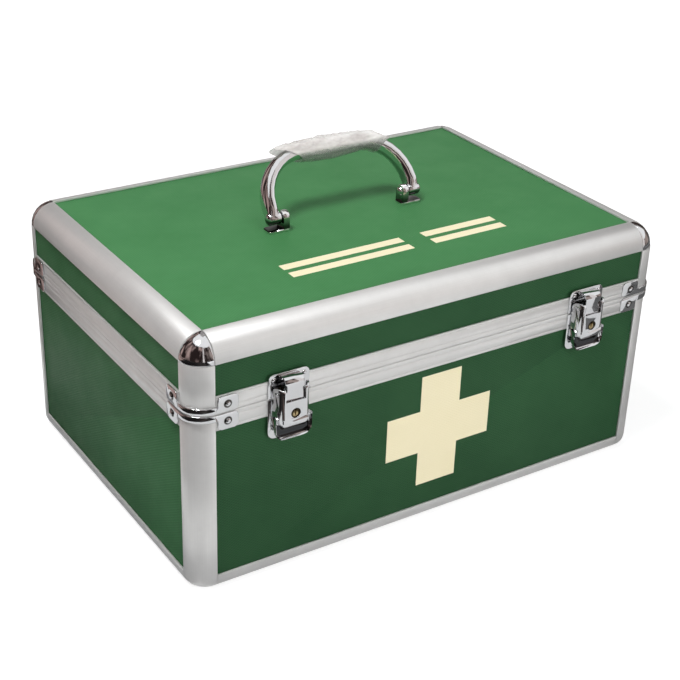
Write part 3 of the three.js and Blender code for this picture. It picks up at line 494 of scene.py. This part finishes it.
def soften(piece, width):
    """Rounded-looking edges on a faceted solid, and smooth shading on its rounds."""
    weld = piece.modifiers.new("weld", "WELD")
    weld.merge_threshold = WELD_REACH
    bevel = piece.modifiers.new("bevel", "BEVEL")
    bevel.width = width
    bevel.segments = 2
    bevel.limit_method = "ANGLE"
    bevel.angle_limit = SHARP_EDGE
    bevel.use_clamp_overlap = True
    bevel.harden_normals = True
    smooth(piece)


def dress_nodes():
    for name, node in NODES.items():
        if name == "handle_film":
            continue
        kind = material_of(name)
        node.data.materials.clear()
        node.data.materials.append(MATERIALS[kind])
        soften(node, CHROME_EDGE if "chrome" in kind else EDGE_WIDTHS.get(kind, EDGE_WIDTH))


# New pieces

def new_piece(name, vertices, faces, material, body):
    mesh = bpy.data.meshes.new(name)
    mesh.from_pydata([tuple(v) for v in vertices], [], faces)
    mesh.validate()
    piece = bpy.data.objects.new(name, mesh)
    bpy.context.scene.collection.objects.link(piece)
    mesh.materials.append(MATERIALS[material])
    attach(piece, body)
    return piece


def prism(outline, place, thickness):
    """Vertices and faces of a flat outline thickened outwards; place maps (u, v, out)."""
    count = len(outline)
    vertices = [place(u, v, out) for out in (0, thickness) for u, v in outline]
    walls = [(i, (i + 1) % count, count + (i + 1) % count, count + i) for i in range(count)]
    faces = [tuple(reversed(range(count))), tuple(range(count, 2 * count)), *walls]
    return vertices, faces


PRINT_THICKNESS = 0.10 * MM
CROSS_SPAN = 86.7 * MM
CROSS_ARM = 33 * MM
CROSS_PLACE = (0.7 * MM, 71.4 * MM)
STRIPE_RUNS = ((-85 * MM, 12 * MM), (30 * MM, 92 * MM))
STRIPE_MIDDLES = (-59 * MM, -71.5 * MM)
STRIPE_WIDTH = 7.5 * MM


def cross_outline():
    half, arm = CROSS_SPAN / 2, CROSS_ARM / 2
    quarter = [(half, -arm), (half, arm), (arm, arm)]
    points = []
    for turn in range(4):
        for x, y in quarter:
            for _ in range(turn):
                x, y = -y, x
            points.append((x, y))
    return points


def make_cross():
    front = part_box("base_front_panel")[0].y

    def place(u, v, out):
        return u + CROSS_PLACE[0], front - out, v + CROSS_PLACE[1]

    vertices, faces = prism(cross_outline(), place, PRINT_THICKNESS)
    new_piece("printed_cross", vertices, faces, "cream_front", "base")


def make_stripes():
    """Plain stripes on the lid."""
    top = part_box("lid_top_panel")[1].z
    half = STRIPE_WIDTH / 2
    for row, middle in enumerate(STRIPE_MIDDLES):
        for column, (start, end) in enumerate(STRIPE_RUNS):
            outline = [(start, -half), (end, -half), (end, half), (start, half)]

            def place(u, v, out):
                return u, middle + v, top + out

            vertices, faces = prism(outline, place, PRINT_THICKNESS)
            name = f"printed_stripe_{row}_{column}"
            new_piece(name, vertices, faces, "cream_flat", "lid")


# Screws of the rear hinges: low domes with a cross recess

HINGE_MIDDLES = (-110 * MM, 110 * MM)
SCREW_ACROSS = 13 * MM
SCREW_ROWS = (("lid", 13.2 * MM), ("base", -13.2 * MM))
LEAF_FACE = 132.75 * MM
SCREW_RADIUS = 2.9 * MM
SCREW_RISE = 1.0 * MM
SCREW_RINGS = 16
SCREW_SIDES = 56
RECESS_HALF = 0.42 * MM
RECESS_REACH = 1.7 * MM
RECESS_DEPTH = 0.75 * MM


def screw_height(u, v):
    """Height of the head above its seat at a place measured from its middle."""
    distance = math.hypot(u, v)
    dome = SCREW_RISE * math.sqrt(max(0, 1 - (distance / SCREW_RADIUS) ** 2.4))
    arm = min(abs(u), abs(v))
    depth = min(1, max(0, (RECESS_HALF - arm) / (0.3 * RECESS_HALF)))
    end = min(1, max(0, (RECESS_REACH - distance) / (0.2 * RECESS_REACH)))
    return dome - RECESS_DEPTH * depth * end


def make_screw(name, body, middle_x, height, turn):
    """A screw head on the outer face of a hinge leaf."""
    vertices = [(middle_x, LEAF_FACE + screw_height(0, 0), height)]
    for ring in range(1, SCREW_RINGS + 1):
        radius = SCREW_RADIUS * ring / SCREW_RINGS
        for side in range(SCREW_SIDES):
            angle = 2 * math.pi * side / SCREW_SIDES
            u, v = radius * math.cos(angle), radius * math.sin(angle)
            x, z = radius * math.cos(angle + turn), radius * math.sin(angle + turn)
            vertices.append((middle_x + x, LEAF_FACE + screw_height(u, v), height + z))
    sides = [(side, (side + 1) % SCREW_SIDES) for side in range(SCREW_SIDES)]
    faces = [(0, 1 + after, 1 + side) for side, after in sides]
    for ring in range(1, SCREW_RINGS):
        outer = 1 + ring * SCREW_SIDES
        inner = outer - SCREW_SIDES
        for side, after in sides:
            faces.append((inner + side, inner + after, outer + after, outer + side))
    piece = new_piece(name, vertices, faces, "chrome", body)
    smooth(piece)


def make_screws():
    """Four screws on each hinge, each turned its own way."""
    for column, middle in enumerate(HINGE_MIDDLES):
        for body, up in SCREW_ROWS:
            for place, across in enumerate((-SCREW_ACROSS, SCREW_ACROSS)):
                # Uneven steps, so that no two recesses line up
                turn = 0.7 + 1.9 * place + 2.3 * column + 40 * up
                name = f"hinge_screw_{body}_{column}_{place}"
                make_screw(name, body, middle + across, SPLIT_HEIGHT + up, turn)


# Film crumpled round the top of the bail, in the handle's own plane: x across, out from the bend

BEND_PLACE = (24.2 * MM, 7.5 * MM)
BEND_RADIUS = 35 * MM
ARM_WIDTH = 9.6 * MM
ARM_DEPTH = 13.2 * MM
ARM_POWER = 0.8
FILM_LEFT = math.radians(28)
FILM_RIGHT = math.radians(40)
FILM_ALONG = 150
FILM_ROUND = 120
FILM_LAP = 0.12
FILM_GAP = 0.5 * MM
FILM_THICKNESS = 0.08 * MM
FOLD_SIZES = ((60, 0.5), (125, 0.3), (260, 0.2))
FOLD_SEED = 3.7
PUFF = 2.0 * MM
PUFF_WAVE = 0.6 * MM
PUFF_LEFT = 2.6 * MM
PUFF_RIGHT = 0.6 * MM
SKIRT_DROP = 2.6 * MM
LAP_RISE = 9 * MM


def handle_line(share):
    """Place in the handle's plane and outward direction, from the film's right end to its left."""
    bend_x, bend_z = BEND_PLACE
    right, left = BEND_RADIUS * FILM_RIGHT, BEND_RADIUS * FILM_LEFT
    run = share * (right + 2 * bend_x + left)
    if run < right:
        middle, angle = bend_x, math.pi / 2 - FILM_RIGHT + run / BEND_RADIUS
    elif run > right + 2 * bend_x:
        middle, angle = -bend_x, math.pi / 2 + (run - right - 2 * bend_x) / BEND_RADIUS
    else:
        out = Vector((0, 0, 1))
        return Vector((bend_x - (run - right), 0, bend_z + BEND_RADIUS)), out
    out = Vector((math.cos(angle), 0, math.sin(angle)))
    return Vector((middle, 0, bend_z)) + BEND_RADIUS * out, out


def creases(place, seed):
    """Sharp folds of crumpled film, from 0 in the hollows to about 1 on a crest."""
    height = 0.0
    for scale, share in FOLD_SIZES:
        point = place * scale + Vector((seed, 0, 0))
        height += share * (1 - min(1, 2.4 * abs(noise.noise(point))))
    return height


def squared_off(value):
    """A sine or cosine pushed out from the ellipse to the bail's fuller section."""
    return math.copysign(abs(value) ** ARM_POWER, value)


def film_point(share, turn):
    """A point of the film. turn runs once round the bail and a little over, from its inner side."""
    centre, out = handle_line(share)
    angle = math.pi + 2 * math.pi * turn
    outward, sideways = math.cos(angle), math.sin(angle)
    near_left = max(0, (share - 0.72) / 0.28)
    near_right = max(0, (0.12 - share) / 0.12)
    lift = max(0, outward) ** 0.8
    ends = PUFF_LEFT * near_left ** 1.6 - PUFF_RIGHT * near_right
    puff = lift * (PUFF + PUFF_WAVE * math.sin(9 * share - 3) + ends)
    hang = math.sin(math.pi * min(1, max(0, (share - 0.2) / 0.68)))
    skirt = max(0, -outward) ** 2 * SKIRT_DROP * hang
    round_place = Vector((share * 0.11, outward * 0.008, sideways * 0.008 + turn * 0.004))
    folds = creases(round_place, FOLD_SEED)
    rough = (0.5 + 1.5 * lift) * folds * MM
    lap = FILM_GAP + turn * 0.5 * MM + max(0, turn - 0.98) * LAP_RISE
    v = squared_off(outward) * ARM_WIDTH / 2 + outward * (lap + rough + puff + skirt)
    w = squared_off(sideways) * ARM_DEPTH / 2 + sideways * (lap + rough + 0.35 * puff)
    return centre + out * v + Vector((0, w, 0))


def make_film():
    """The film with ragged ends and a loose lap, puffed up at its left end."""
    turn_ends = 1 + FILM_LAP
    vertices = []
    for i in range(FILM_ALONG + 1):
        for j in range(FILM_ROUND + 1):
            turn = turn_ends * j / FILM_ROUND
            outward = math.cos(math.pi + 2 * math.pi * turn)
            ragged = noise.noise(Vector((turn * 6, 2.3, 0)))
            first = 0.03 + 0.015 * ragged - 0.03 * outward
            last = 0.90 + 0.10 * outward + 0.015 * noise.noise(Vector((turn * 7, 9.1, 0)))
            share = first + (last - first) * i / FILM_ALONG
            vertices.append(film_point(share, turn))
    lean = Matrix.Rotation(-HANDLE_LEAN, 3, "X")
    vertices = [HANDLE_PIVOT + lean @ vertex for vertex in vertices]
    row = FILM_ROUND + 1
    faces = [
        (i * row + j, i * row + j + 1, (i + 1) * row + j + 1, (i + 1) * row + j)
        for i in range(FILM_ALONG)
        for j in range(FILM_ROUND)
    ]
    piece = new_piece("crumpled_film", vertices, faces, "film", "handle")
    smooth(piece)
    solid = piece.modifiers.new("thickness", "SOLIDIFY")
    solid.thickness = FILM_THICKNESS
    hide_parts("handle_film")


# Stage

def make_camera():
    data = bpy.data.cameras.new("camera")
    data.lens = CAMERA_LENS
    data.sensor_width = CAMERA_SENSOR
    data.clip_start = 0.01
    camera = bpy.data.objects.new("camera", data)
    bpy.context.scene.collection.objects.link(camera)
    aim = Euler((math.pi / 2 - CAMERA_ELEVATION, 0, CAMERA_AZIMUTH)).to_matrix().to_4x4()
    roll = Matrix.Rotation(CAMERA_ROLL, 4, "Z")
    camera.matrix_world = Matrix.Translation(CAMERA_PLACE) @ aim @ roll
    bpy.context.scene.camera = camera


def seen_directly(tree, in_gloss=1.0):
    """1 for rays from the camera or by way of glass, and 0 for the light that rooms give."""
    path = add(tree, "ShaderNodeLightPath").outputs
    gloss = maths(tree, "MULTIPLY", path["Is Glossy Ray"], in_gloss)
    camera_or_gloss = maths(tree, "MAXIMUM", path["Is Camera Ray"], gloss)
    return maths(tree, "MAXIMUM", camera_or_gloss, path["Is Transmission Ray"])


FLOOR_SIZE = 6.0
FLOOR_GREY = 0.42
FLOOR_GLOW = 0.74
FLOOR_GLOSS = 0.4
FLOOR_FADE = (0.45, 1.3)


def make_floor():
    half = FLOOR_SIZE / 2
    corners = [(-half, -half, 0), (half, -half, 0), (half, half, 0), (-half, half, 0)]
    mesh = bpy.data.meshes.new("floor")
    mesh.from_pydata(corners, [], [(0, 1, 2, 3)])
    floor = bpy.data.objects.new("floor", mesh)
    bpy.context.scene.collection.objects.link(floor)
    material, tree = glow_material("floor")
    grey = (FLOOR_GREY, FLOOR_GREY, FLOOR_GREY, 1)
    matt = add(tree, "ShaderNodeBsdfDiffuse", {"Color": grey}).outputs[0]
    place = add(tree, "ShaderNodeTexCoord").outputs["Object"]
    distance = add(tree, "ShaderNodeVectorMath", {0: place}, operation="LENGTH").outputs["Value"]
    strength = ramp(tree, distance, *FLOOR_FADE, FLOOR_GLOW, 1.0)
    glow = add(tree, "ShaderNodeEmission", {"Strength": strength}).outputs[0]
    both = add(tree, "ShaderNodeAddShader", {0: matt, 1: glow}).outputs[0]
    inputs = {0: seen_directly(tree, FLOOR_GLOSS), 1: matt, 2: both}
    mixed = add(tree, "ShaderNodeMixShader", inputs).outputs[0]
    add(tree, "ShaderNodeOutputMaterial", {"Surface": mixed})
    mesh.materials.append(material)


ROOM_GREY = 0.32
ROOM_TINT = (0.97, 0.985, 1, 1)


def make_world():
    world = bpy.data.worlds.new("world")
    bpy.context.scene.world = world
    world.use_nodes = True
    tree = world.node_tree
    tree.nodes.clear()
    inputs = {"Color": (1, 1, 1, 1), "Strength": 1.0}
    white = add(tree, "ShaderNodeBackground", inputs).outputs[0]
    inputs = {"Color": ROOM_TINT, "Strength": ROOM_GREY}
    room = add(tree, "ShaderNodeBackground", inputs).outputs[0]
    inputs = {0: seen_directly(tree), 1: room, 2: white}
    mixed = add(tree, "ShaderNodeMixShader", inputs).outputs[0]
    add(tree, "ShaderNodeOutputWorld", {"Surface": mixed})


# What bright metal sees round it: a room that only glossy rays meet. Each zone of its wall runs
# from an azimuth to another, from -Y towards -X, up to a height in metres, between a dark and a
# pale tone. The floor's shades run outwards from a radius.
ROOM_RADIUS = 1.5
ROOM_STEP = math.radians(5)
BROWN = ((0.024, 0.016, 0.015, 1), (0.50, 0.36, 0.33, 1))
DARK_BROWN = ((0.030, 0.022, 0.020, 1), (0.42, 0.34, 0.31, 1))
WHITISH = ((0.80, 0.74, 0.72, 1), (1.0, 0.97, 0.95, 1))
ROOM_ZONES = (
    (-125, -98, 2.1, DARK_BROWN),
    (-98, -52, 0.5, DARK_BROWN),
    (-52, -33, 2.1, WHITISH),
    (-33, 24, 2.1, DARK_BROWN),
    (24, 29, 2.3, WHITISH),
    (29, 196, 2.3, BROWN),
    (196, 235, 4.5, ((0.34, 0.32, 0.315, 1), (0.60, 0.58, 0.57, 1))),
)
FLOOR_SHADES = (
    (-130, -46, 0.22, ((0.06, 0.06, 0.06, 1), (0.22, 0.22, 0.22, 1))),
    (14, 96, 0.36, ((0.012, 0.011, 0.011, 1), (0.09, 0.08, 0.075, 1))),
    (96, 165, 0.36, BROWN),
    (165, 230, 0.36, ((0.16, 0.16, 0.16, 1), (0.34, 0.34, 0.34, 1))),
)


def glossy_only(name, vertices, faces, tones):
    """A glowing sheet between a dark and a pale tone that only glossy rays meet."""
    material, tree = glow_material(name)
    streaks = cloud(tree, own_place(tree, (1, 1, 0.4)), 1.9, 2.0, 0.5)
    tone = blend_colour(tree, ramp(tree, streaks, 0.46, 0.66), *tones)
    glow = add(tree, "ShaderNodeEmission", {"Color": tone}).outputs[0]
    add(tree, "ShaderNodeOutputMaterial", {"Surface": glow})
    mesh = bpy.data.meshes.new(name)
    mesh.from_pydata(vertices, [], faces)
    mesh.materials.append(material)
    sheet = bpy.data.objects.new(name, mesh)
    bpy.context.scene.collection.objects.link(sheet)
    sheet.visible_camera = False
    sheet.visible_diffuse = False
    sheet.visible_transmission = False
    sheet.visible_shadow = False


def strip(azimuths, inner, outer):
    """Quads between two rings, each a radius and a height, over a run of azimuths in degrees."""
    first, last = (math.radians(value) for value in azimuths)
    count = max(1, round((last - first) / ROOM_STEP))
    vertices = []
    for i in range(count + 1):
        angle = first + (last - first) * i / count
        for radius, height in (inner, outer):
            vertices.append((-radius * math.sin(angle), -radius * math.cos(angle), height))
    return vertices, [(2 * i, 2 * i + 1, 2 * i + 3, 2 * i + 2) for i in range(count)]


SHADE_HEIGHT = 1 * MM
SKIRT_INNER = (190 * MM, 131 * MM)
SKIRT_WIDTH = 34 * MM
SKIRT_TONES = ((0.20, 0.20, 0.21, 1), (0.37, 0.37, 0.38, 1))


def make_skirt():
    """A sheet of painted shade round the box's foot: the floor close to the box, dim as its lower
    edges see it in reflection.
    """
    half_x, half_y = SKIRT_INNER
    corners = ((-1, -1), (1, -1), (1, 1), (-1, 1))
    rings = [
        [(x * (half_x + width), y * (half_y + width), SHADE_HEIGHT) for x, y in corners]
        for width in (0, SKIRT_WIDTH)
    ]
    faces = [(i, (i + 1) % 4, 4 + (i + 1) % 4, 4 + i) for i in range(4)]
    glossy_only("room_skirt", sum(rings, []), faces, SKIRT_TONES)


def make_room():
    for i, (first, last, height, tones) in enumerate(ROOM_ZONES):
        wall = strip((first, last), (ROOM_RADIUS, 0), (ROOM_RADIUS, height))
        glossy_only(f"room_wall_{i}", *wall, tones)
    for i, (first, last, near, tones) in enumerate(FLOOR_SHADES):
        shade = strip((first, last), (near, SHADE_HEIGHT), (ROOM_RADIUS, SHADE_HEIGHT))
        glossy_only(f"room_floor_{i}", *shade, tones)


# Lights: place, size in metres, power in watts, and whether bright metal mirrors them
LIT_MIDDLE = (0, 0, 0.1)
LIGHTS = (
    ("key", (-0.72, -0.14, 1.9), (0.45, 0.45), 22, True),
    ("front", (0.0, -1.55, 0.65), (1.2, 0.8), 16, False),
    ("left", (-1.6, -0.2, 0.8), (1.0, 0.8), 4, False),
    ("rear", (0.7, 1.6, 0.7), (1.2, 0.8), 8, False),
)


def area_light(name, place, size, power, mirrored):
    data = bpy.data.lights.new(name, "AREA")
    data.energy = power
    data.shape = "RECTANGLE"
    data.size, data.size_y = size
    light = bpy.data.objects.new(name, data)
    bpy.context.scene.collection.objects.link(light)
    light.location = place
    aim = (Vector(LIT_MIDDLE) - Vector(place)).to_track_quat("-Z", "Y")
    light.rotation_euler = aim.to_euler()
    light.visible_glossy = mirrored


def make_lights():
    for name, place, size, power, mirrored in LIGHTS:
        area_light(name, place, size, power, mirrored)


make_camera()
dress_nodes()
make_cross()
make_stripes()
make_screws()
make_film()
make_floor()
make_world()
make_room()
make_skirt()
make_lights()

scene = bpy.context.scene
scene.view_settings.view_transform = "Standard"
